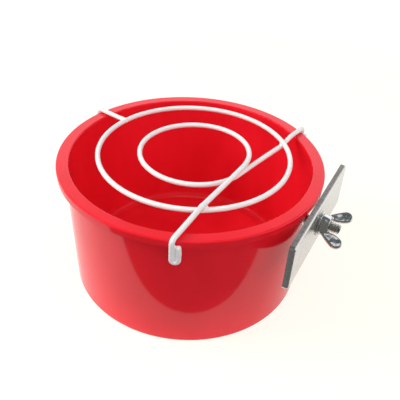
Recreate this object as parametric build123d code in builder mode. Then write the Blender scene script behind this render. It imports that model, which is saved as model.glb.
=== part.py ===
from build123d import *
import os
from math import acos, atan2, cos, degrees, radians, sin, sqrt, tan

# Seed cup for a bird cage: a round moulded cup, a lift-off wire guard on its lip, and a clamp at one
# side that grips the bars of a cage.  Millimetres, +Z up, origin at the middle of the flat base.  The
# clamp's bolt points along +X.

# Cup
rim_radius = 65.0
cup_height = 67.7
lip_reach = 4.0
lip_depth = 3.4
lip_top = 2.0
lip_skirt = 1.6
lip_round = 0.8
lip_edge_round = 0.6
wall = 2.0
wall_flare = 1.6
floor_thickness = 2.4
floor_round = 5.0
base_round = 2.6

# Clamp
bolt_drop = 14.0
bolt_radius = 2.5
bolt_beyond_nut = 5.1
bolt_end_chamfer = 0.6
head_radius = 6.5
head_height = 3.0
head_rim = 0.7
neck_proud = 1.0
plate_length = 74.4
plate_height = 23.6
plate_depth = 2.8
plate_sheet = 1.0
plate_corner = 1.8
plate_bend = 1.4
washer_radius = 6.0
washer_thickness = 1.0
washer_edge = 0.25
hub_base_radius = 5.2
hub_top_radius = 4.3
hub_height = 3.8
hub_edge = 0.5
wing_reach = 7.3
wing_rise = 9.1
wing_tip_radius = 2.9
wing_thickness = 2.2
wing_edge = 0.8
wing_lean = 30.0
wing_angle = 22.0

# Guard of coated wire
wire_radius = 1.2
outer_ring_radius = 46.8
inner_ring_radius = 26.7
hook_drop = 11.0
hook_return = 8.7
hook_bulge = 2.9
hook_bulge_height = 4.6
hook_bulge_bend = 2.6
hook_end_gap = 0.25
hairpin_gap = 0.3
hairpin_flat = 0.12
near_hook_azimuth = -68.0
far_hook_azimuth = 55.0
short_leg_azimuth = 168.5
crossing_run = 10.0
leg_dip = 3.4
crossing_gap = 0.3
step_bend = 20.0
bend_margin = 0.1
weld_depth = 0.25
ring_shift_x = 0.8
ring_shift_y = 1.5
wire_end_round = 1.1

# Clearances
seat_gap = 0.3
running_gap = 0.08
face_gap = 0.05
neck_gap = 0.1

# Cup wall: the outer and the inner face lean outwards together
wall_top_radius = rim_radius - lip_reach
base_radius = wall_top_radius - wall_flare
lip_underside = cup_height - lip_top


def wall_radius(height):
    """Radius of the outside of the cup's wall at a height above the base."""
    return base_radius + wall_flare * height / lip_underside


def polar(radius, azimuth, height):
    """Point at a radius from the cup's axis, an azimuth in degrees from +X and a height."""
    return Vector(radius * cos(radians(azimuth)), radius * sin(radians(azimuth)), height)


# Clamp stack, worked out along the bolt from the inside of the wall
bolt_height = cup_height - bolt_drop
bolt_axis = Axis((0, 0, bolt_height), (1, 0, 0))
bolt_plane = Plane(origin=(0, 0, bolt_height), x_dir=(1, 0, 0), z_dir=(0, -1, 0))
head_seat = sqrt((wall_radius(bolt_height - head_radius) - wall) ** 2 - head_radius**2)
neck_end = wall_radius(bolt_height) + neck_proud
neck_side = 2 * bolt_radius
plate_back = rim_radius + seat_gap
plate_front = plate_back + plate_depth
washer_back = plate_front + face_gap
nut_back = washer_back + washer_thickness + face_gap
nut_front = nut_back + hub_height
bolt_end = nut_front + bolt_beyond_nut
bore_radius = bolt_radius + running_gap


def across_bolt(along):
    """Plane square to the bolt at a distance from the cup's axis, with its x along +Y."""
    return Plane(origin=(along, 0, bolt_height), x_dir=(0, 1, 0), z_dir=(1, 0, 0))


# Guard levels: the legs lie on the lip, level with the outer ring, and the long legs step over and
# under it where they are welded to it.  The rings stand a little off the cup's axis
ring_centre = Vector(ring_shift_x, ring_shift_y, 0)
leg_height = cup_height + seat_gap + wire_radius
ring_height = leg_height
weld_step = 2 * wire_radius - weld_depth
hook_radius = rim_radius + seat_gap + wire_radius
leg_bend = lip_round + seat_gap + wire_radius
hairpin_width = 2 * wire_radius + hairpin_gap
hairpin_bend = (hairpin_width - hairpin_flat) / 2


def hook_points(azimuth, side):
    """Corners of a hook, from the wire's folded-back end up to the lip; side is +1 or -1 round the cup.

    The folded wire bulges away from the upright one and closes on it again, like an eye.
    """
    across = Vector(-sin(radians(azimuth)), cos(radians(azimuth)), 0) * side
    lip_corner = polar(hook_radius, azimuth, leg_height)
    foot = polar(hook_radius, azimuth, cup_height - hook_drop + wire_radius)
    folded_foot = foot + across * hairpin_width
    bulge = foot + across * hook_bulge + Vector(0, 0, hook_bulge_height)
    folded_end = foot + across * (2 * wire_radius + hook_end_gap) + Vector(0, 0, hook_return)
    return [folded_end, bulge, folded_foot, foot, lip_corner]


def hook_from_ring(azimuth):
    """Distance and azimuth of a hook from the middle of the guard's rings."""
    hook = polar(hook_radius, azimuth, 0) - ring_centre
    return hook.length, degrees(atan2(hook.Y, hook.X))


def step_bends(points):
    """Bend radii at a wire's inner points: the step bend, or less where the runs beside it are short."""
    bends = []
    for before, corner, after in zip(points, points[1:], points[2:]):
        turn = (corner - before).get_angle(after - corner)
        shorter_run = min((corner - before).length, (after - corner).length)
        bends.append(min(step_bend, shorter_run / 2 / tan(radians(turn / 2)) * (1 - bend_margin)))
    return bends


os.makedirs("parts", exist_ok=True)

# Cup with a turned-down lip and a square hole for the bolt's neck
with BuildPart() as cup:
    with BuildSketch(Plane.XZ) as outside:
        with BuildLine():
            Polyline(
                (0, 0),
                (base_radius, 0),
                (wall_top_radius, lip_underside),
                (rim_radius - lip_skirt, lip_underside),
                (rim_radius - lip_skirt, cup_height - lip_depth),
                (rim_radius, cup_height - lip_depth),
                (rim_radius, cup_height),
                (0, cup_height),
                close=True,
            )
        make_face()
        base_corner = outside.vertices().group_by(Axis.Y)[0].sort_by(Axis.X)[-1]
        fillet(base_corner, radius=base_round)
        skirt_corners = outside.vertices().group_by(Axis.X)[-1].sort_by(Axis.Y)
        fillet(skirt_corners[-1], radius=lip_round)
        fillet(skirt_corners[0], radius=lip_edge_round)
    revolve(axis=Axis.Z)
    with BuildSketch(Plane.XZ) as inside:
        inner_top_radius = wall_radius(cup_height) - wall
        with BuildLine():
            Polyline(
                (0, floor_thickness),
                (wall_radius(floor_thickness) - wall, floor_thickness),
                (inner_top_radius, cup_height),
                (0, cup_height),
                close=True,
            )
        make_face()
        floor_corner = inside.vertices().group_by(Axis.Y)[0].sort_by(Axis.X)[-1]
        fillet(floor_corner, radius=floor_round)
    revolve(axis=Axis.Z, mode=Mode.SUBTRACT)
    lip_inner_edge = cup.edges().filter_by(GeomType.CIRCLE).group_by(Axis.Z)[-1].sort_by(SortBy.RADIUS)[0]
    fillet(lip_inner_edge, radius=lip_edge_round)
    with BuildSketch(across_bolt(0)):
        Rectangle(neck_side + 2 * neck_gap, neck_side + 2 * neck_gap)
    extrude(amount=rim_radius - lip_skirt, mode=Mode.SUBTRACT)
cup.part.label = "cup"
export_step(cup.part, "parts/cup.step")

# Bolt with a domed head inside the cup and a square neck that keeps it from turning
with BuildPart() as carriage_bolt:
    with BuildSketch(bolt_plane):
        with BuildLine():
            apex = (head_seat - head_height, 0)
            head_edge = (head_seat - head_rim, head_radius)
            TangentArc(apex, head_edge, tangent=(0, 1))
            Polyline(
                head_edge,
                (head_seat, head_radius),
                (head_seat, bolt_radius),
                (bolt_end - bolt_end_chamfer, bolt_radius),
                (bolt_end, bolt_radius - bolt_end_chamfer),
                (bolt_end, 0),
                apex,
            )
        make_face()
    revolve(axis=bolt_axis)
    with BuildSketch(across_bolt(head_seat)):
        Rectangle(neck_side, neck_side)
    extrude(amount=neck_end - head_seat)
carriage_bolt.part.label = "carriage_bolt"
export_step(carriage_bolt.part, "parts/carriage_bolt.step")

# Clamp plate: a pressed steel tray whose edges turn towards the bars
with BuildPart() as clamp_plate:
    with BuildSketch(across_bolt(plate_back)):
        RectangleRounded(plate_length, plate_height, plate_corner)
    extrude(amount=plate_depth)
    fillet(clamp_plate.edges().group_by(Axis.X)[-1], radius=plate_bend)
    offset(amount=-plate_sheet, openings=clamp_plate.faces().sort_by(Axis.X)[0])
    with BuildSketch(across_bolt(plate_back)):
        Circle(bore_radius)
    extrude(amount=plate_depth, mode=Mode.SUBTRACT)
clamp_plate.part.label = "clamp_plate"
export_step(clamp_plate.part, "parts/clamp_plate.step")

# Washer between the plate and the wing nut
with BuildPart() as washer:
    with BuildSketch(across_bolt(washer_back)):
        Circle(washer_radius)
        Circle(bore_radius, mode=Mode.SUBTRACT)
    extrude(amount=washer_thickness)
    rims = washer.edges().filter_by(GeomType.CIRCLE).sort_by(SortBy.RADIUS)[-2:]
    fillet(rims, radius=washer_edge)
washer.part.label = "washer"
export_step(washer.part, "parts/washer.step")

# Wing nut: a tapered hub with two rounded wings that flare away from the plate
wing_side = Vector(0, cos(radians(wing_angle)), sin(radians(wing_angle)))
wing_plane = Plane(
    origin=(nut_back, 0, bolt_height),
    x_dir=(1, 0, 0),
    z_dir=Vector(1, 0, 0).cross(wing_side),
)


def wing_tip(angle):
    """Point on the round end of a wing, as a distance along the bolt and one away from it."""
    along = wing_rise + wing_tip_radius * cos(radians(angle))
    outward = wing_reach + wing_tip_radius * sin(radians(angle))
    return (along, outward)


with BuildPart() as wing_nut:
    with BuildSketch(wing_plane):
        with BuildLine():
            root_low = (hub_edge, hub_base_radius - wing_edge)
            root_top = (hub_height - hub_edge, hub_top_radius - wing_edge)
            towards_root = (-cos(radians(wing_lean)), -sin(radians(wing_lean)))
            TangentArc(wing_tip(wing_lean + 90), root_low, tangent=towards_root)
            ThreePointArc(wing_tip(wing_lean + 90), wing_tip(wing_lean), wing_tip(wing_lean - 90))
            TangentArc(wing_tip(wing_lean - 90), root_top, tangent=towards_root)
            Line(root_top, root_low)
        make_face()
    extrude(amount=wing_thickness / 2, both=True)
    fillet(wing_nut.edges(), radius=wing_edge)
    mirror(about=Plane(origin=(nut_back, 0, bolt_height), z_dir=wing_side))
    with BuildSketch(bolt_plane) as hub:
        Polygon(
            (nut_back, 0),
            (nut_back, hub_base_radius),
            (nut_front, hub_top_radius),
            (nut_front, 0),
            align=None,
        )
        fillet(hub.vertices().group_by(Axis.X)[-1].sort_by(Axis.Y)[-1], radius=hub_edge)
    revolve(axis=bolt_axis)
    with BuildSketch(across_bolt(nut_back)):
        Circle(bore_radius)
    extrude(amount=hub_height, mode=Mode.SUBTRACT)
wing_nut.part.label = "wing_nut"
export_step(wing_nut.part, "parts/wing_nut.step")

# Outer ring of the guard
with BuildPart() as guard_outer_ring:
    with BuildSketch(Plane(origin=ring_centre, x_dir=(1, 0, 0), z_dir=(0, -1, 0))):
        with Locations((outer_ring_radius, ring_height)):
            Circle(wire_radius)
    revolve(axis=Axis(ring_centre, (0, 0, 1)))
guard_outer_ring.part.label = "guard_outer_ring"
export_step(guard_outer_ring.part, "parts/guard_outer_ring.step")

# Loop wire: one wire that runs in from a hook, turns once round the feeding hole and runs out to the
# second hook.  The two legs are tangents of the loop and cross beside it.  The first leg lies over the
# second and over the outer ring, and the second dips inside the lip and lies under the ring.
near_distance, near_azimuth = hook_from_ring(near_hook_azimuth)
far_distance, far_azimuth = hook_from_ring(far_hook_azimuth)
start_azimuth = near_azimuth + degrees(acos(inner_ring_radius / near_distance))
end_azimuth = far_azimuth - degrees(acos(inner_ring_radius / far_distance))
crossing_step = wire_radius + crossing_gap / 2
loop_start = ring_centre + polar(inner_ring_radius, start_azimuth, leg_height + crossing_step)
loop_middle = ring_centre + polar(inner_ring_radius, start_azimuth + 180, leg_height)
loop_end = ring_centre + polar(inner_ring_radius, end_azimuth, leg_height - crossing_step)
start_heading = polar(1, start_azimuth + 90, 0)
end_heading = polar(1, end_azimuth + 90, 0)
weld_run = sqrt(outer_ring_radius**2 - inner_ring_radius**2)
axis_run = -loop_end.dot(end_heading)
axis_miss = (Vector(loop_end.X, loop_end.Y, 0) + end_heading * axis_run).length
clear_run = axis_run + sqrt((inner_top_radius - leg_dip) ** 2 - axis_miss**2)
weld_rise = Vector(0, 0, ring_height + weld_step - loop_start.Z)
clear_rise = Vector(0, 0, leg_height - loop_end.Z)
hook_bends = [hook_bulge_bend, hairpin_bend, hairpin_bend, leg_bend]
near_hook = hook_points(near_hook_azimuth, 1)
far_hook = hook_points(far_hook_azimuth, -1)
near_steps = [
    loop_start - start_heading * weld_run + weld_rise,
    loop_start - start_heading * crossing_run,
    loop_start,
]
with BuildPart() as guard_loop_wire:
    with BuildLine() as loop_path:
        FilletPolyline(
            *near_hook,
            *near_steps,
            radius=[*hook_bends, *step_bends([near_hook[-1], *near_steps])],
        )
        TangentArc(loop_start, loop_middle, tangent=start_heading)
        last_arc = TangentArc(loop_middle, loop_end, tangent=-start_heading)
        far_steps = [
            loop_end,
            loop_end + (last_arc % 1) * crossing_run,
            loop_end + end_heading * weld_run - weld_rise,
            loop_end + end_heading * clear_run + clear_rise,
        ]
        FilletPolyline(
            *far_steps,
            *reversed(far_hook),
            radius=[*step_bends([*far_steps, far_hook[-1]]), *reversed(hook_bends)],
        )
    with BuildSketch(Plane(origin=loop_path.line @ 0, z_dir=loop_path.line % 0)):
        Circle(wire_radius)
    sweep()
    fillet(guard_loop_wire.faces().filter_by(GeomType.PLANE).edges(), radius=wire_end_round)
guard_loop_wire.part.label = "guard_loop_wire"
export_step(guard_loop_wire.part, "parts/guard_loop_wire.step")

# Short leg: from the outside of the outer ring to the third hook, opposite the clamp
leg_azimuth = hook_from_ring(short_leg_azimuth)[1]
with BuildPart() as guard_short_leg:
    with BuildLine() as leg_path:
        FilletPolyline(
            *hook_points(short_leg_azimuth, 1),
            ring_centre + polar(outer_ring_radius + wire_radius - weld_depth, leg_azimuth, ring_height),
            radius=hook_bends,
        )
    with BuildSketch(Plane(origin=leg_path.line @ 0, z_dir=leg_path.line % 0)):
        Circle(wire_radius)
    sweep()
    folded_end = guard_short_leg.faces().filter_by(GeomType.PLANE).sort_by_distance((0, 0, leg_height))[-1]
    fillet(folded_end.edges(), radius=wire_end_round)
guard_short_leg.part.label = "guard_short_leg"
export_step(guard_short_leg.part, "parts/guard_short_leg.step")
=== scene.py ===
import logging
import math
from dataclasses import dataclass
from enum import Enum
from typing import Any, Iterable, Sequence, Union

import bpy
from mathutils import Matrix, Quaternion, Vector


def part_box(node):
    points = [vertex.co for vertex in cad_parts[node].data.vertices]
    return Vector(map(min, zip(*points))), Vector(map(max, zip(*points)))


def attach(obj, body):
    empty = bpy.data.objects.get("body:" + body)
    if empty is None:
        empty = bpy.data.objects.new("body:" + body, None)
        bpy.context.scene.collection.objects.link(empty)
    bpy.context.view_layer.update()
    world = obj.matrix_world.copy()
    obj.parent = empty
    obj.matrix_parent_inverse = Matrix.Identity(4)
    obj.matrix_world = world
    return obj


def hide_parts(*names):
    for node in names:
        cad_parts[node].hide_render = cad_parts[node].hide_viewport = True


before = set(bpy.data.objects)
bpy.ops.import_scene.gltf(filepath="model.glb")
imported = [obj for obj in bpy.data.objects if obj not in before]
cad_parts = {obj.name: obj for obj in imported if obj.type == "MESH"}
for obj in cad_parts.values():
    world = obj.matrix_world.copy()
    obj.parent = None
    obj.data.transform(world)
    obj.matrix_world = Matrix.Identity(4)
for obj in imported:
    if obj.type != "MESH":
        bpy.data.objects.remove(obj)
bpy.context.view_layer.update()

MM = 0.001
LOG = logging.getLogger("seed_cup")

Colour = tuple[float, float, float, float]
Point = tuple[float, float, float]
Span = tuple[float, float]
Strand = tuple[Vector, Vector]

WHITE: Colour = (1, 1, 1, 1)
EVEN: Point = (1, 1, 1)
X_AXIS: Point = (1, 0, 0)

LUMP_DETAIL = 1.0
GRAIN_DETAIL = 2.0
CLOUD_DETAIL = 3.0
FINE_DETAIL = 4.0


class Slot(Enum):
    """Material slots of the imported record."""

    WIRE = "coated_wire"
    STEEL = "plated_steel"


class Body(Enum):
    """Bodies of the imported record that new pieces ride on."""

    CUP = "cup"
    GUARD = "guard"
    NUT = "wing_nut"


class Signal:
    """A shader socket that takes part in Python sums, each of which adds one Math node."""

    def __init__(self, sheet: "NodeSheet", socket: bpy.types.NodeSocket) -> None:
        """Wrap a socket of a sheet's node."""
        self.sheet = sheet
        self.socket = socket

    def maths(self, operation: str, *operands: "Operand") -> "Signal":
        """Add a Math node.

        Args:
            operation: Blender's name of the sum, such as MULTIPLY.
            operands: What goes into its sockets, in order.

        Returns:
            The node's result.
        """
        node = self.sheet.add("ShaderNodeMath", {"operation": operation}, dict(enumerate(operands)))
        return Signal(self.sheet, node.outputs[0])

    def __add__(self, other: "Operand") -> "Signal":
        """Give self + other."""
        return self.maths("ADD", self, other)

    def __radd__(self, other: "Operand") -> "Signal":
        """Give other + self."""
        return self.maths("ADD", other, self)

    def __sub__(self, other: "Operand") -> "Signal":
        """Give self - other."""
        return self.maths("SUBTRACT", self, other)

    def __rsub__(self, other: "Operand") -> "Signal":
        """Give other - self."""
        return self.maths("SUBTRACT", other, self)

    def __mul__(self, other: "Operand") -> "Signal":
        """Give self * other."""
        return self.maths("MULTIPLY", self, other)

    def __rmul__(self, other: "Operand") -> "Signal":
        """Give other * self."""
        return self.maths("MULTIPLY", other, self)

    def larger(self, other: "Operand") -> "Signal":
        """Give the larger of self and other."""
        return self.maths("MAXIMUM", self, other)

    def ramp(self, low: float, high: float) -> "Signal":
        """Give a smooth step from 0 to 1.

        Args:
            low: The value that gives 0.
            high: The value that gives 1.

        Returns:
            The stepped value.
        """
        settings = {"interpolation_type": "SMOOTHSTEP"}
        sockets = {"Value": self, "From Min": low, "From Max": high}
        node = self.sheet.add("ShaderNodeMapRange", settings, sockets)
        return Signal(self.sheet, node.outputs["Result"])


Operand = Union[Signal, float]


class NodeSheet:
    """The node tree of one material, or of the world."""

    def __init__(self, tree: bpy.types.NodeTree) -> None:
        """Empty a tree and take it over."""
        self.tree = tree
        tree.nodes.clear()

    def add(self, kind: str, settings: dict[str, Any], sockets: dict[Any, Any]) -> bpy.types.Node:
        """Add one node.

        Args:
            kind: Blender's type name of the node.
            settings: Attributes of the node, such as a Math node's operation.
            sockets: Values, signals or sockets for the inputs, by name or number.

        Returns:
            The new node.
        """
        node = self.tree.nodes.new(kind)
        for name, value in settings.items():
            setattr(node, name, value)
        for key, value in sockets.items():
            if isinstance(value, Signal):
                self.tree.links.new(value.socket, node.inputs[key])
            elif isinstance(value, bpy.types.NodeSocket):
                self.tree.links.new(value, node.inputs[key])
            else:
                node.inputs[key].default_value = value
        return node

    def place(self, stretch: Point = EVEN) -> bpy.types.NodeSocket:
        """Give the piece's own coordinates.

        Args:
            stretch: Scale along each axis, for a pattern that is drawn out.

        Returns:
            A vector socket, in metres times stretch.
        """
        source = self.add("ShaderNodeTexCoord", {}, {}).outputs["Object"]
        if stretch == EVEN:
            return source
        return self.add("ShaderNodeMapping", {}, {"Vector": source, "Scale": stretch}).outputs[0]

    def axis(self, name: str) -> Signal:
        """Give one of the piece's own coordinates, X, Y or Z."""
        split = self.add("ShaderNodeSeparateXYZ", {}, {"Vector": self.place()})
        return Signal(self, split.outputs[name])

    def facing_up(self) -> Signal:
        """Give how far the surface faces up, from -1 to 1."""
        way = self.add("ShaderNodeNewGeometry", {}, {}).outputs["Normal"]
        return Signal(self, self.add("ShaderNodeSeparateXYZ", {}, {0: way}).outputs["Z"])

    def noise(self, size: float, detail: float, stretch: Point = EVEN) -> Signal:
        """Give a cloudy pattern.

        Args:
            size: Width of its clouds in metres.
            detail: How many finer layers it has.
            stretch: Scale along each axis.

        Returns:
            A value about 0.5.
        """
        sockets = {"Vector": self.place(stretch), "Scale": 1 / size, "Detail": detail}
        node = self.add("ShaderNodeTexNoise", {}, sockets)
        return Signal(self, node.outputs[0])

    def mix(self, share: Operand, first: Any, second: Any) -> bpy.types.NodeSocket:
        """Mix two colours.

        Args:
            share: How much of the second there is.
            first: The colour at share 0.
            second: The colour at share 1.

        Returns:
            A colour socket.
        """
        node = self.add("ShaderNodeMix", {"data_type": "RGBA"}, {0: share, 6: first, 7: second})
        return node.outputs[2]

    def bump(self, height: Signal, depth: float = 1.0) -> bpy.types.NodeSocket:
        """Raise a surface.

        Args:
            height: The relief.
            depth: How high a relief of 1 stands, in metres. It is left out for a relief in metres.

        Returns:
            A normal socket.
        """
        node = self.add("ShaderNodeBump", {}, {"Height": height, "Distance": depth, "Strength": 1.0})
        return node.outputs[0]


class Finish:
    """A finish that makes its material once and then hands it out."""

    name: str = "finish"

    def shade(self, sheet: NodeSheet) -> bpy.types.NodeSocket:
        """Draw the nodes and give the surface shader."""
        raise NotImplementedError

    def material(self) -> bpy.types.Material:
        """Give the finish's material, made on the first call."""
        found = bpy.data.materials.get(self.name)
        if found:
            return found
        made = bpy.data.materials.new(self.name)
        made.use_nodes = True
        sheet = NodeSheet(made.node_tree)
        surface = self.shade(sheet)
        sheet.add("ShaderNodeOutputMaterial", {}, {"Surface": surface})
        return made

    def dress(self, piece: bpy.types.Object) -> None:
        """Put the finish on a piece, in place of what it has."""
        piece.data.materials.clear()
        piece.data.materials.append(self.material())


@dataclass(frozen=True)
class MouldedPlastic(Finish):
    """Glossy red plastic from a mould, with faint flow clouds and fine rubbing."""

    name: str = "moulded_red_plastic"
    colour: Colour = (0.86, 0.014, 0.028, 1)
    deep_colour: Colour = (0.79, 0.011, 0.022, 1)
    scuffed_colour: Colour = (0.82, 0.03, 0.035, 1)
    refraction: float = 1.45
    gloss: float = 0.09
    rubbed_gloss: float = 0.2
    flow_size: float = 24 * MM
    flow_stretch: Point = (1, 1, 0.35)
    flow_span: Span = (0.35, 0.65)
    rub_size: float = 1.6 * MM
    rub_stretch: Point = (0.25, 0.25, 1)
    rub_span: Span = (0.52, 0.75)
    rub_share: float = 0.25
    peel_size: float = 2.2 * MM
    peel_depth: float = 0.006 * MM
    scuff_height: float = 3.5 * MM
    scuff_share: float = 0.6

    def shade(self, sheet: NodeSheet) -> bpy.types.NodeSocket:
        """Draw the nodes and give the surface shader."""
        flow = sheet.noise(self.flow_size, CLOUD_DETAIL, self.flow_stretch).ramp(*self.flow_span)
        rub = sheet.noise(self.rub_size, FINE_DETAIL, self.rub_stretch).ramp(*self.rub_span)
        foot = (1 - sheet.axis("Z").ramp(0, self.scuff_height)) * rub
        colour = sheet.mix(flow, self.colour, self.deep_colour)
        colour = sheet.mix(foot * self.scuff_share, colour, self.scuffed_colour)
        rough = self.gloss + (self.rubbed_gloss - self.gloss) * (rub * self.rub_share).larger(foot)
        peel = sheet.bump(sheet.noise(self.peel_size, LUMP_DETAIL), self.peel_depth)
        sockets = {"Base Color": colour, "Roughness": rough, "Normal": peel, "IOR": self.refraction}
        return sheet.add("ShaderNodeBsdfPrincipled", {}, sockets).outputs[0]


@dataclass(frozen=True)
class CoatedWire(Finish):
    """White plastic coating on wire, a little uneven, as a dipped coat is."""

    name: str = "white_wire_coat"
    colour: Colour = (0.86, 0.845, 0.835, 1)
    grimy_colour: Colour = (0.76, 0.74, 0.72, 1)
    gloss: float = 0.22
    dull_gloss: float = 0.38
    cloud_size: float = 5 * MM
    cloud_span: Span = (0.45, 0.8)
    grime: float = 0.5
    lump_size: float = 1.7 * MM
    lump_depth: float = 0.05 * MM

    def shade(self, sheet: NodeSheet) -> bpy.types.NodeSocket:
        """Draw the nodes and give the surface shader."""
        cloud = sheet.noise(self.cloud_size, CLOUD_DETAIL).ramp(*self.cloud_span)
        colour = sheet.mix(cloud * self.grime, self.colour, self.grimy_colour)
        rough = self.gloss + (self.dull_gloss - self.gloss) * cloud
        lumps = sheet.bump(sheet.noise(self.lump_size, LUMP_DETAIL), self.lump_depth)
        sockets = {"Base Color": colour, "Roughness": rough, "Normal": lumps}
        return sheet.add("ShaderNodeBsdfPrincipled", {}, sockets).outputs[0]


@dataclass(frozen=True)
class PlatedSteel(Finish):
    """Zinc-plated steel: bright, with faint warm and cool clouds and marks from tumbling.

    Painted shade darkens the ledges that face up, in patches, and dulls them. A casting is wavy.
    """

    name: str = "zinc_plated_steel"
    colour: Colour = (0.82, 0.81, 0.78, 1)
    warm_colour: Colour = (0.76, 0.71, 0.60, 1)
    cool_colour: Colour = (0.66, 0.71, 0.76, 1)
    # Painted shade: the ledges that face up are darkened towards this colour, in patches.
    ledge_shade_colour: Colour = (0.25, 0.22, 0.20, 1)
    gloss: float = 0.22
    dull_gloss: float = 0.34
    shaded_ledge_gloss: float = 0.45
    ledge_shade: float = 0.85
    ledge_shade_size: float = 1.4 * MM
    ledge_shade_span: Span = (0.3, 0.6)
    ledge_shade_patches: float = 0.25
    ledge_span: Span = (0.6, 0.95)
    cloud_size: float = 6 * MM
    warm_span: Span = (0.5, 0.75)
    cool_span: Span = (0.25, 0.5)
    tint: float = 0.5
    mark_size: float = 0.9 * MM
    mark_depth: float = 0.002 * MM
    mark_stretch: Point = (1, 0.18, 1)
    mark_span: Span = (0.35, 0.75)
    wave_size: float = 4.5 * MM
    wave_depth: float = 0.0

    def shade(self, sheet: NodeSheet) -> bpy.types.NodeSocket:
        """Draw the nodes and give the surface shader."""
        cloud = sheet.noise(self.cloud_size, CLOUD_DETAIL)
        marks = sheet.noise(self.mark_size, CLOUD_DETAIL, self.mark_stretch)
        colour = sheet.mix(cloud.ramp(*self.warm_span) * self.tint, self.colour, self.warm_colour)
        colour = sheet.mix((1 - cloud.ramp(*self.cool_span)) * self.tint, colour, self.cool_colour)
        rough = self.gloss + (self.dull_gloss - self.gloss) * marks.ramp(*self.mark_span)
        # Painted shade: darken and dull the ledges that face up, in patches.
        if self.ledge_shade:
            ledge = sheet.facing_up().ramp(*self.ledge_span) * self.ledge_shade
            patches = self.ledge_shade_patches * sheet.noise(self.ledge_shade_size, CLOUD_DETAIL).ramp(*self.ledge_shade_span)
            ledge_shading = ledge * (1 - self.ledge_shade_patches + patches)
            colour = sheet.mix(ledge_shading, colour, self.ledge_shade_colour)
            rough = rough + ledge_shading * (self.shaded_ledge_gloss - self.gloss)
        height = marks * self.mark_depth
        if self.wave_depth:
            height = height + sheet.noise(self.wave_size, LUMP_DETAIL) * self.wave_depth
        relief = sheet.bump(height)
        sockets = {"Base Color": colour, "Roughness": rough, "Normal": relief, "Metallic": 1.0}
        return sheet.add("ShaderNodeBsdfPrincipled", {}, sockets).outputs[0]


@dataclass(frozen=True)
class PaleSheet(Finish):
    """White paper under the cup, which stays white to the camera and keeps a cream-coloured shadow.

    The cream fades to white away from the cup.
    """

    name: str = "white_paper"
    colour: Colour = (0.86, 0.86, 0.855, 1)
    fleck_colour: Colour = (0.7, 0.7, 0.7, 1)
    fleck_share: float = 0.04
    grain_size: float = 0.7 * MM
    glow_colour: Colour = (1.19, 1.17, 1.056, 1)
    far_glow_colour: Colour = (1.3, 1.3, 1.3, 1)
    fade_start: float = 0.25
    fade_end: float = 0.6
    lift: float = 0.7
    mirrored_lift: float = 0.4

    def shade(self, sheet: NodeSheet) -> bpy.types.NodeSocket:
        """Draw the nodes and give the surface shader."""
        grain = sheet.noise(self.grain_size, GRAIN_DETAIL) * self.fleck_share
        colour = sheet.mix(grain, self.colour, self.fleck_colour)
        paper = sheet.add("ShaderNodeBsdfDiffuse", {}, {"Color": colour}).outputs[0]
        across, along = sheet.axis("X"), sheet.axis("Y")
        far = (across * across + along * along).ramp(self.fade_start ** 2, self.fade_end ** 2)
        glow_colour = sheet.mix(far, self.glow_colour, self.far_glow_colour)
        glow = sheet.add("ShaderNodeEmission", {}, {"Color": glow_colour, "Strength": 1.0}).outputs[0]
        path = sheet.add("ShaderNodeLightPath", {}, {})
        seen = Signal(sheet, path.outputs["Is Camera Ray"]) * self.lift
        mirrored = Signal(sheet, path.outputs["Is Glossy Ray"]) * self.mirrored_lift
        return sheet.add("ShaderNodeMixShader", {}, {0: seen + mirrored, 1: paper, 2: glow}).outputs[0]


@dataclass(frozen=True)
class Finishes:
    """The finishes of the whole object."""

    plastic: MouldedPlastic = MouldedPlastic()
    wire: CoatedWire = CoatedWire()
    steel: PlatedSteel = PlatedSteel(ledge_shade=0.0, gloss=0.16, wave_depth=0.6 * MM)
    # The tray keeps the painted shade on its ledges that face up; the other steel has none.
    tray: PlatedSteel = PlatedSteel(name="zinc_plated_tray")


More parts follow.
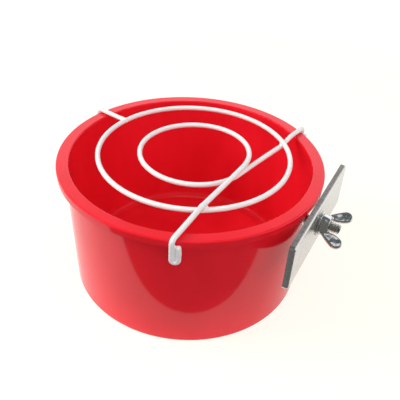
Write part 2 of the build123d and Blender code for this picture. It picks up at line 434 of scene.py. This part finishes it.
class Bench:
    """Hand tools of the modeller: each works on one new mesh at a time."""

    MERGE_GAP = 0.001 * MM
    SMOOTHING = 0.5
    ALL_EDGES = 180.0

    @staticmethod
    def start() -> None:
        """Leave edit mode and let go of everything."""
        if bpy.context.object and bpy.context.object.mode != "OBJECT":
            bpy.ops.object.mode_set(mode="OBJECT")
        bpy.ops.object.select_all(action="DESELECT")

    @classmethod
    def hold(cls, piece: bpy.types.Object) -> None:
        """Take one piece in hand and let go of the rest."""
        cls.start()
        bpy.context.view_layer.objects.active = piece
        piece.select_set(True)

    @classmethod
    def trace(cls, name: str, points: Sequence[Point]) -> bpy.types.Object:
        """Draw a chain of edges through points.

        Args:
            name: Name of the new piece.
            points: Corners of the chain, in metres.

        Returns:
            The new piece, left in edit mode with its last corner selected.
        """
        cls.start()
        bpy.ops.mesh.primitive_plane_add(size=MM)
        piece = bpy.context.object
        piece.name = piece.data.name = name
        bpy.ops.object.mode_set(mode="EDIT")
        bpy.ops.mesh.merge(type="CENTER")
        bpy.ops.transform.translate(value=points[0])
        for before, after in zip(points, points[1:]):
            step = Vector(after) - Vector(before)
            bpy.ops.mesh.extrude_region_move(TRANSFORM_OT_translate={"value": step})
        return piece

    @classmethod
    def turn(cls, name: str, points: Sequence[Point], steps: int) -> bpy.types.Object:
        """Turn an outline into a solid about the X axis.

        Args:
            name: Name of the new piece.
            points: Outline from axis to axis.
            steps: Facets round the solid.

        Returns:
            The new piece, in object mode.
        """
        piece = cls.trace(name, points)
        bpy.ops.mesh.select_all(action="SELECT")
        bpy.ops.mesh.spin(steps=steps, angle=math.tau, center=(0, 0, 0), axis=X_AXIS)
        cls.close()
        return piece

    @classmethod
    def close(cls) -> None:
        """Merge doubled corners of the mesh in edit mode, point its faces outwards and leave edit mode."""
        bpy.ops.mesh.select_all(action="SELECT")
        bpy.ops.mesh.remove_doubles(threshold=cls.MERGE_GAP)
        bpy.ops.mesh.dissolve_degenerate(threshold=cls.MERGE_GAP)
        bpy.ops.mesh.select_all(action="SELECT")
        bpy.ops.mesh.normals_make_consistent(inside=False)
        bpy.ops.object.mode_set(mode="OBJECT")

    @classmethod
    def modify(cls, piece: bpy.types.Object, kind: str, **settings: Any) -> None:
        """Add a modifier to a piece and apply it.

        Args:
            piece: The mesh to change.
            kind: Blender's type name of the modifier.
            settings: The modifier's attributes.
        """
        cls.hold(piece)
        modifier = piece.modifiers.new(kind.lower(), kind)
        for name, value in settings.items():
            setattr(modifier, name, value)
        bpy.ops.object.modifier_apply(modifier=modifier.name)

    @classmethod
    def smooth(cls, piece: bpy.types.Object, angle: float) -> None:
        """Shade a piece smooth up to an angle in degrees between faces."""
        cls.hold(piece)
        bpy.ops.object.shade_smooth_by_angle(angle=math.radians(angle))

    @classmethod
    def combine(cls, piece: bpy.types.Object, other: bpy.types.Object, operation: str) -> None:
        """Work another solid into a piece and throw the other away.

        Args:
            piece: The solid that stays.
            other: The solid that is used up.
            operation: UNION, INTERSECT or DIFFERENCE.
        """
        cls.modify(piece, "BOOLEAN", operation=operation, object=other, solver="EXACT")
        bpy.data.objects.remove(other)

    @classmethod
    def copy_node(cls, name: str, node: bpy.types.Object) -> bpy.types.Object:
        """Copy a solid's mesh into a new piece with its corners merged.

        Args:
            name: Name of the new piece.
            node: The solid's object, which stays as it is.

        Returns:
            The new piece, in object mode.
        """
        piece = bpy.data.objects.new(name, node.data.copy())
        piece.data.name = name
        bpy.context.scene.collection.objects.link(piece)
        cls.hold(piece)
        bpy.ops.object.mode_set(mode="EDIT")
        cls.close()
        return piece

    @classmethod
    def soften(cls, piece: bpy.types.Object, grid: float, fillet: float, passes: int) -> None:
        """Fill a solid's inner corners and take the edge off its outer ones.

        Args:
            piece: The solid to soften.
            grid: Width of the new facets.
            fillet: Radius that the inner corners get.
            passes: How often the surface is smoothed.
        """
        cls.modify(piece, "REMESH", mode="VOXEL", voxel_size=grid)
        cls.modify(piece, "DISPLACE", strength=fillet, mid_level=0.0)
        cls.modify(piece, "REMESH", mode="VOXEL", voxel_size=grid)
        cls.modify(piece, "DISPLACE", strength=-fillet, mid_level=0.0)
        cls.modify(piece, "SMOOTH", factor=cls.SMOOTHING, iterations=passes)
        cls.smooth(piece, cls.ALL_EDGES)


@dataclass
class MouldedCup:
    """The red cup."""

    finishes: Finishes

    def build(self) -> Iterable[bpy.types.Object]:
        """Dress the cup and give it."""
        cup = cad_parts["cup"]
        self.finishes.plastic.dress(cup)
        yield cup


@dataclass
class WireGuard:
    """The lift-off guard of coated wire, with the coat pooled where the wires are welded."""

    finishes: Finishes
    wire_radius: float = 1.2 * MM
    inner_ring_radius: float = 26.7 * MM
    hook_radius: float = 66.5 * MM
    hook_turns: tuple[float, float, float] = (-68.0, 55.0, 168.5)
    weld_step: float = 2.15 * MM
    pool_reach: float = 3.4 * MM
    pool_swell: float = 0.14 * MM
    pool_fillet: float = 0.7 * MM
    pool_grid: float = 0.16 * MM
    pool_facets: int = 24
    pool_passes: int = 8
    short_leg_reach: float = 0.8
    fold_fillet: float = 0.55 * MM
    fold_inset: float = 0.04 * MM
    fold_passes: int = 4

    def build(self) -> Iterable[bpy.types.Object]:
        """Dress the guard's wires, pool the coat at the welds and in the hooks' folds, and give them all."""
        for name in ("guard_outer_ring", "guard_loop_wire", "guard_short_leg"):
            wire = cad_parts[name]
            self.finishes.wire.dress(wire)
            yield wire
        for name, places in self.weld_wires().items():
            yield self.pool(name, places)
        wires = ("guard_loop_wire", "guard_loop_wire", "guard_short_leg")
        for name, wire, turn in zip(("front", "far", "left"), wires, self.hook_turns):
            yield self.fold_coat(f"fold_coat_{name}", wire, turn)

    def hook_place(self, turn: float) -> Vector:
        """Give a hook's place on the floor plan, from its turn round the cup in degrees."""
        return Matrix.Rotation(math.radians(turn), 3, "Z") @ Vector((self.hook_radius, 0, 0))

    def weld_wires(self) -> dict[str, tuple[Strand, Strand]]:
        """Work out where the wires are welded.

        Returns:
            For each pool of coat, a point on each of its two wires and the way that wire runs there.
        """
        low, high = (Vector(corner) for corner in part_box("guard_outer_ring"))
        middle = (low + high) / 2
        ring_radius = (high.x - low.x) / 2 - self.wire_radius
        reach = math.sqrt(ring_radius ** 2 - self.inner_ring_radius ** 2)
        flat = Vector((middle.x, middle.y, 0))
        first, second, third = (self.hook_place(turn) - flat for turn in self.hook_turns)
        welds = {}
        legs = (("front", first, 1, self.weld_step), ("far", second, -1, -self.weld_step))
        for name, hook, side, step in legs:
            inset = math.acos(self.inner_ring_radius / hook.length)
            turn = math.atan2(hook.y, hook.x) + side * inset
            out = Vector((math.cos(turn), math.sin(turn), 0))
            along = Vector((-out.y, out.x, 0)) * -side
            crossing = out * self.inner_ring_radius + along * reach
            tangent = Vector((-crossing.y, crossing.x, 0)).normalized()
            on_ring = middle + crossing
            on_leg = on_ring + Vector((0, 0, step))
            welds[f"weld_coat_{name}"] = ((on_ring, tangent), (on_leg, along))
        out = third.normalized()
        on_ring = middle + out * ring_radius
        on_leg = on_ring + out * (self.pool_reach * self.short_leg_reach)
        welds["weld_coat_short_leg"] = ((on_ring, Vector((-out.y, out.x, 0))), (on_leg, out))
        return welds

    def pool(self, name: str, places: Sequence[Strand]) -> bpy.types.Object:
        """Model the coat that ran together where two wires are welded.

        Args:
            name: Name of the pool.
            places: A point on each wire and the way the wire runs there.

        Returns:
            The pool, which swells out of both wires and dies away along them.
        """
        reach, thin = self.pool_reach, self.wire_radius - self.pool_swell
        fat = self.wire_radius + self.pool_swell
        outline = [(-reach, 0), (-reach, thin), (-reach / 2, self.wire_radius), (0, fat)]
        outline += [(-x, radius) for x, radius in reversed(outline[:-1])]
        sleeves = []
        for number, (place, way) in enumerate(places):
            points = [(x, 0, radius) for x, radius in outline]
            sleeve = Bench.turn(f"{name}_{number}", points, self.pool_facets)
            turn = way.to_track_quat("X", "Z").to_matrix().to_4x4()
            sleeve.data.transform(Matrix.Translation(place) @ turn)
            sleeves.append(sleeve)
        piece, other = sleeves
        Bench.combine(piece, other, "UNION")
        piece.name = piece.data.name = name
        Bench.soften(piece, self.pool_grid, self.pool_fillet, self.pool_passes)
        return self.coated(piece)

    def fold_coat(self, name: str, wire: str, turn: float) -> bpy.types.Object:
        """Model the coat that closes the fold of a hook.

        Args:
            name: Name of the coat.
            wire: The solid that the hook belongs to.
            turn: The hook's turn round the cup in degrees.

        Returns:
            The coat, which lies just inside the wire and comes out of it in the fold.
        """
        coat = Bench.copy_node(name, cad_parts[wire])
        place = self.hook_place(turn)
        inner = place * (1 - 2 * self.wire_radius / place.length)
        bpy.ops.object.mode_set(mode="EDIT")
        bpy.ops.mesh.select_all(action="SELECT")
        bpy.ops.mesh.bisect(plane_co=inner, plane_no=-place, use_fill=True, clear_outer=True)
        Bench.close()
        Bench.soften(coat, self.pool_grid, self.fold_fillet, self.fold_passes)
        Bench.modify(coat, "DISPLACE", strength=-self.fold_inset, mid_level=0.0)
        return self.coated(coat)

    def coated(self, piece: bpy.types.Object) -> bpy.types.Object:
        """Put the coat's finish on a piece, fasten it to the guard and give it."""
        self.finishes.wire.dress(piece)
        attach(piece, Body.GUARD.value)
        return piece


@dataclass
class BarClamp:
    """The clamp that grips the bars: threaded bolt, plate, washer and cast wing nut."""

    finishes: Finishes
    head_height: float = 3.0 * MM
    head_rim: float = 0.7 * MM
    head_steps: int = 10
    neck_side: float = 5.0 * MM
    neck_length: float = 3.5 * MM
    neck_edge: float = 0.35 * MM
    neck_edge_steps: int = 3
    shank_radius: float = 2.5 * MM
    thread_pitch: float = 0.8 * MM
    thread_depth: float = 0.46 * MM
    thread_crest: float = 0.12 * MM
    thread_lead: int = 2
    tip_chamfer: float = 0.7 * MM
    facets: int = 40
    crease: float = 35.0
    cast_grid: float = 0.17 * MM
    cast_fillet: float = 0.9 * MM
    cast_passes: int = 6

    def build(self) -> Iterable[bpy.types.Object]:
        """Model the bolt and the wing nut, dress the clamp's pieces and give them."""
        for name, finish in (("clamp_plate", self.finishes.tray), ("washer", self.finishes.steel)):
            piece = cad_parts[name]
            finish.dress(piece)
            yield piece
        modelled = ((self.bolt(), "carriage_bolt", Body.CUP), (self.nut(), "wing_nut", Body.NUT))
        for piece, node, body in modelled:
            self.finishes.steel.dress(piece)
            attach(piece, body.value)
            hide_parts(node)
            yield piece

    def bolt(self) -> bpy.types.Object:
        """Model the carriage bolt about the X axis, with its thread, and lift it to its place.

        Returns:
            The bolt: domed head, square neck and threaded shank in one mesh.
        """
        low, high = (Vector(corner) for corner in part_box("carriage_bolt"))
        head_radius = (high.z - low.z) / 2
        seat = low.x + self.head_height
        neck_end = seat + self.neck_length
        bolt = self.bolt_head(low.x, seat, head_radius)
        Bench.combine(bolt, self.bolt_neck(seat, neck_end), "UNION")
        Bench.combine(bolt, self.bolt_thread(neck_end, high.x), "UNION")
        bolt.data.transform(Matrix.Translation((0, 0, (high.z + low.z) / 2)))
        Bench.smooth(bolt, self.crease)
        return bolt

    def bolt_head(self, crown: float, seat: float, radius: float) -> bpy.types.Object:
        """Turn the bolt's domed head.

        Args:
            crown: Where the dome's top is along X.
            seat: Where the head's flat back is along X.
            radius: The head's radius.

        Returns:
            The head, closed.
        """
        dome = self.head_height - self.head_rim
        ball = (radius ** 2 + dome ** 2) / (2 * dome)
        spread = math.asin(radius / ball)
        arc = [spread * step / self.head_steps for step in range(self.head_steps + 1)]
        points = [(crown + ball * (1 - math.cos(turn)), 0, ball * math.sin(turn)) for turn in arc]
        points += [(seat, 0, radius), (seat, 0, 0)]
        return Bench.turn("carriage_bolt_threaded", points, self.facets)

    def bolt_neck(self, start: float, end: float) -> bpy.types.Object:
        """Model the square neck, sunk a little into the head.

        Args:
            start: Where the head ends along X.
            end: Where the neck ends along X.

        Returns:
            The neck, with its edges taken off.
        """
        Bench.start()
        sunk = self.head_rim / 2
        middle = ((start - sunk + end) / 2, 0, 0)
        bpy.ops.mesh.primitive_cube_add(size=1, location=middle)
        neck = bpy.context.object
        neck.scale = (end - start + sunk, self.neck_side, self.neck_side)
        bpy.ops.object.transform_apply(location=True, rotation=True, scale=True)
        bpy.ops.object.mode_set(mode="EDIT")
        bpy.ops.mesh.select_all(action="SELECT")
        bpy.ops.mesh.bevel(offset=self.neck_edge, segments=self.neck_edge_steps, affect="EDGES")
        Bench.close()
        return neck

    def bolt_thread(self, start: float, end: float) -> bpy.types.Object:
        """Model the threaded shank.

        Args:
            start: Where the thread comes out of the neck along X.
            end: Where the bolt ends along X.

        Returns:
            The shank, with the thread cut off square at the neck and chamfered at the tip.
        """
        pitch, crest, outer = self.thread_pitch, self.thread_crest, self.shank_radius
        root = outer - self.thread_depth
        sunk = self.head_rim
        first = start - sunk - self.thread_lead * pitch
        flank = (pitch - crest) / 2 - crest / 2
        tooth = [(0, root), (flank, outer), (flank + crest, outer)]
        tooth += [(2 * flank + crest, root), (pitch, root)]
        shank = Bench.trace("bolt_thread", [(first + x, 0, radius) for x, radius in tooth])
        bpy.ops.object.mode_set(mode="OBJECT")
        turns = math.ceil((end - first) / pitch) + 1
        Bench.modify(shank, "SCREW", axis="X", steps=self.facets, render_steps=self.facets,
                     screw_offset=pitch, iterations=turns, use_normal_calculate=True)
        bpy.ops.object.mode_set(mode="EDIT")
        Bench.close()
        bpy.ops.object.mode_set(mode="EDIT")
        for place, side in ((start - sunk, -1), (end, 1)):
            bpy.ops.mesh.select_all(action="SELECT")
            bpy.ops.mesh.bisect(plane_co=(place, 0, 0), plane_no=(side, 0, 0),
                                use_fill=True, clear_outer=True)
        Bench.close()
        blank = outer + crest
        tip = outer - self.tip_chamfer
        outline = [(start - 2 * sunk, 0), (start - 2 * sunk, blank), (end - self.tip_chamfer - crest, blank)]
        outline += [(end - crest / 2, tip), (end - crest / 2, 0)]
        cutter = Bench.turn("bolt_blank", [(x, 0, radius) for x, radius in outline], self.facets)
        Bench.combine(shank, cutter, "INTERSECT")
        return shank

    def nut(self) -> bpy.types.Object:
        """Soften the wing nut as a casting is, with fillets where the wings leave the hub."""
        nut = Bench.copy_node("wing_nut_cast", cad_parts["wing_nut"])
        Bench.soften(nut, self.cast_grid, self.cast_fillet, self.cast_passes)
        return nut


@dataclass
class Studio:
    """White paper on a table, a soft lamp at the upper left, a shadowless fill lamp, and the camera.

    Shiny pieces mirror a room of their own. Its spans are heights of the view from -1, straight down, to 1,
    straight up, and for the dim side how far the view turns towards the camera.
    """

    view_azimuth: float = 26.0
    view_elevation: float = 36.36
    view_distance: float = 286.1 * MM
    view_roll: float = 3.4
    view_target: Point = (4.9 * MM, 2.39 * MM, 40.9 * MM)
    lens: float = 49.6
    near_clip: float = 10 * MM
    table_reach: float = 3.0
    table_edge: float = 77.0 * MM
    table_edge_turn: float = 5.5
    key_place: Point = (-0.74, -0.04, 0.54)
    key_size: float = 0.5
    key_power: float = 5.6
    fill_place: Point = (0.36, -0.59, 0.55)
    fill_size: float = 0.8
    fill_power: float = 3.4
    sky_strength: float = 0.55
    sky_colour: Colour = WHITE
    wall_colour: Colour = (1.2, 1.2, 1.25, 1)
    ceiling_colour: Colour = (0.085, 0.105, 0.115, 1)
    ceiling_span: Span = (0.5, 0.72)
    panel_span: Span = (0.98, 0.995)
    room_colour: Colour = (0.13, 0.13, 0.13, 1)
    dim_side_span: Span = (0.2, 0.7)
    floor_span: Span = (-0.06, 0.02)

    def turned(self, place: Point) -> Vector:
        """Turn a place that is given as the camera sees it, x to its right and y away from it."""
        return Matrix.Rotation(math.radians(self.view_azimuth), 3, "Z") @ Vector(place)

    def build(self) -> None:
        """Set up the paper, the light and the camera."""
        bpy.context.scene.view_settings.view_transform = "Standard"
        self.lay_paper()
        self.light_room()
        self.add_lamp("key_lamp", self.key_place, self.key_size, self.key_power)
        self.add_lamp("fill_lamp", self.fill_place, self.fill_size, self.fill_power, shadows=False)
        self.add_camera()

    def lay_paper(self) -> None:
        """Lay a sheet that ends in front of the cup, and beyond it an apron that only the camera sees."""
        self.lay_sheet("paper", -self.table_edge, self.table_reach)
        apron = self.lay_sheet("paper_apron", -self.table_reach, -self.table_edge)
        apron.visible_glossy = False
        apron.visible_diffuse = False
        apron.visible_transmission = False
        apron.visible_shadow = False

    def lay_sheet(self, name: str, near: float, far: float) -> bpy.types.Object:
        """Lay one sheet of paper.

        Args:
            name: Name of the sheet.
            near: Where it ends on the camera's side of the cup's axis.
            far: Where it ends on the other side.

        Returns:
            The sheet.
        """
        Bench.start()
        bpy.ops.mesh.primitive_plane_add(size=2 * self.table_reach)
        paper = bpy.context.object
        paper.name = paper.data.name = name
        for corner in paper.data.vertices:
            corner.co.y = near if corner.co.y < 0 else far
        turn = math.radians(self.view_azimuth + self.table_edge_turn)
        paper.data.transform(Matrix.Rotation(turn, 4, "Z"))
        PaleSheet().dress(paper)
        return paper

    def light_room(self) -> None:
        """Light the room: white to the camera, and to matt pieces a pale sky over a dim floor.

        To shiny pieces the walls are pale, the ceiling and the camera's side are dim, and a pale panel hangs
        straight above.
        """
        world = bpy.data.worlds.new("room")
        bpy.context.scene.world = world
        world.use_nodes = True
        sheet = NodeSheet(world.node_tree)
        path = sheet.add("ShaderNodeLightPath", {}, {})
        seen = Signal(sheet, path.outputs["Is Camera Ray"])
        shiny = Signal(sheet, path.outputs["Is Glossy Ray"])
        ways = sheet.add("ShaderNodeTexCoord", {}, {}).outputs["Generated"]
        east, north, up = (Signal(sheet, way) for way in
                           sheet.add("ShaderNodeSeparateXYZ", {}, {0: ways}).outputs)
        behind = self.turned((0, -1, 0))
        towards_camera = east * behind.x + north * behind.y
        mirrored = sheet.mix(up.ramp(*self.ceiling_span), self.wall_colour, self.ceiling_colour)
        mirrored = sheet.mix(up.ramp(*self.panel_span), mirrored, self.wall_colour)
        mirrored = sheet.mix(towards_camera.ramp(*self.dim_side_span), mirrored, self.room_colour)
        sky = sheet.mix(shiny, self.sky_colour, mirrored)
        sky = sheet.mix(up.ramp(*self.floor_span), self.room_colour, sky)
        strength = self.sky_strength + (1 - self.sky_strength) * shiny
        white = sheet.add("ShaderNodeBackground", {}, {"Color": WHITE, "Strength": 1.0}).outputs[0]
        room = sheet.add("ShaderNodeBackground", {}, {"Color": sky, "Strength": strength}).outputs[0]
        mixed = sheet.add("ShaderNodeMixShader", {}, {0: seen, 1: room, 2: white}).outputs[0]
        sheet.add("ShaderNodeOutputWorld", {}, {"Surface": mixed})

    def add_lamp(self, name: str, place: Point, size: float, power: float, shadows: bool = True) -> None:
        """Hang a square soft lamp that faces the cup.

        Args:
            name: Name of the lamp.
            place: Where it hangs, as the camera sees it.
            size: Width of the lamp in metres.
            power: Its power in watts.
            shadows: Whether it throws shadows.
        """
        lamp = bpy.data.objects.new(name, bpy.data.lights.new(name, "AREA"))
        lamp.data.size = size
        lamp.data.energy = power
        lamp.data.use_shadow = shadows
        lamp.location = self.turned(place)
        lamp.visible_glossy = False
        aim = Vector(self.view_target) - lamp.location
        lamp.rotation_euler = aim.to_track_quat("-Z", "Y").to_euler()
        bpy.context.scene.collection.objects.link(lamp)

    def add_camera(self) -> None:
        """Put the camera where the photograph was taken from."""
        camera = bpy.data.objects.new("camera", bpy.data.cameras.new("camera"))
        tilt = math.radians(self.view_elevation)
        back = self.turned((0, -math.cos(tilt), math.sin(tilt)))
        camera.location = Vector(self.view_target) + back * self.view_distance
        roll = Quaternion((0, 0, 1), math.radians(self.view_roll))
        camera.rotation_euler = ((-back).to_track_quat("-Z", "Y") @ roll).to_euler()
        camera.data.lens = self.lens
        camera.data.clip_start = self.near_clip
        bpy.context.scene.collection.objects.link(camera)
        bpy.context.scene.camera = camera


def main() -> None:
    """Build and dress the object and its studio."""
    logging.basicConfig(level=logging.INFO, format="%(name)s: %(message)s")
    finishes = Finishes()
    for assembly in (MouldedCup(finishes), WireGuard(finishes), BarClamp(finishes)):
        for piece in assembly.build():
            LOG.info("%s: %s, %d faces", type(assembly).__name__, piece.name, len(piece.data.polygons))
    Studio().build()


if __name__ == "__main__":
    main()
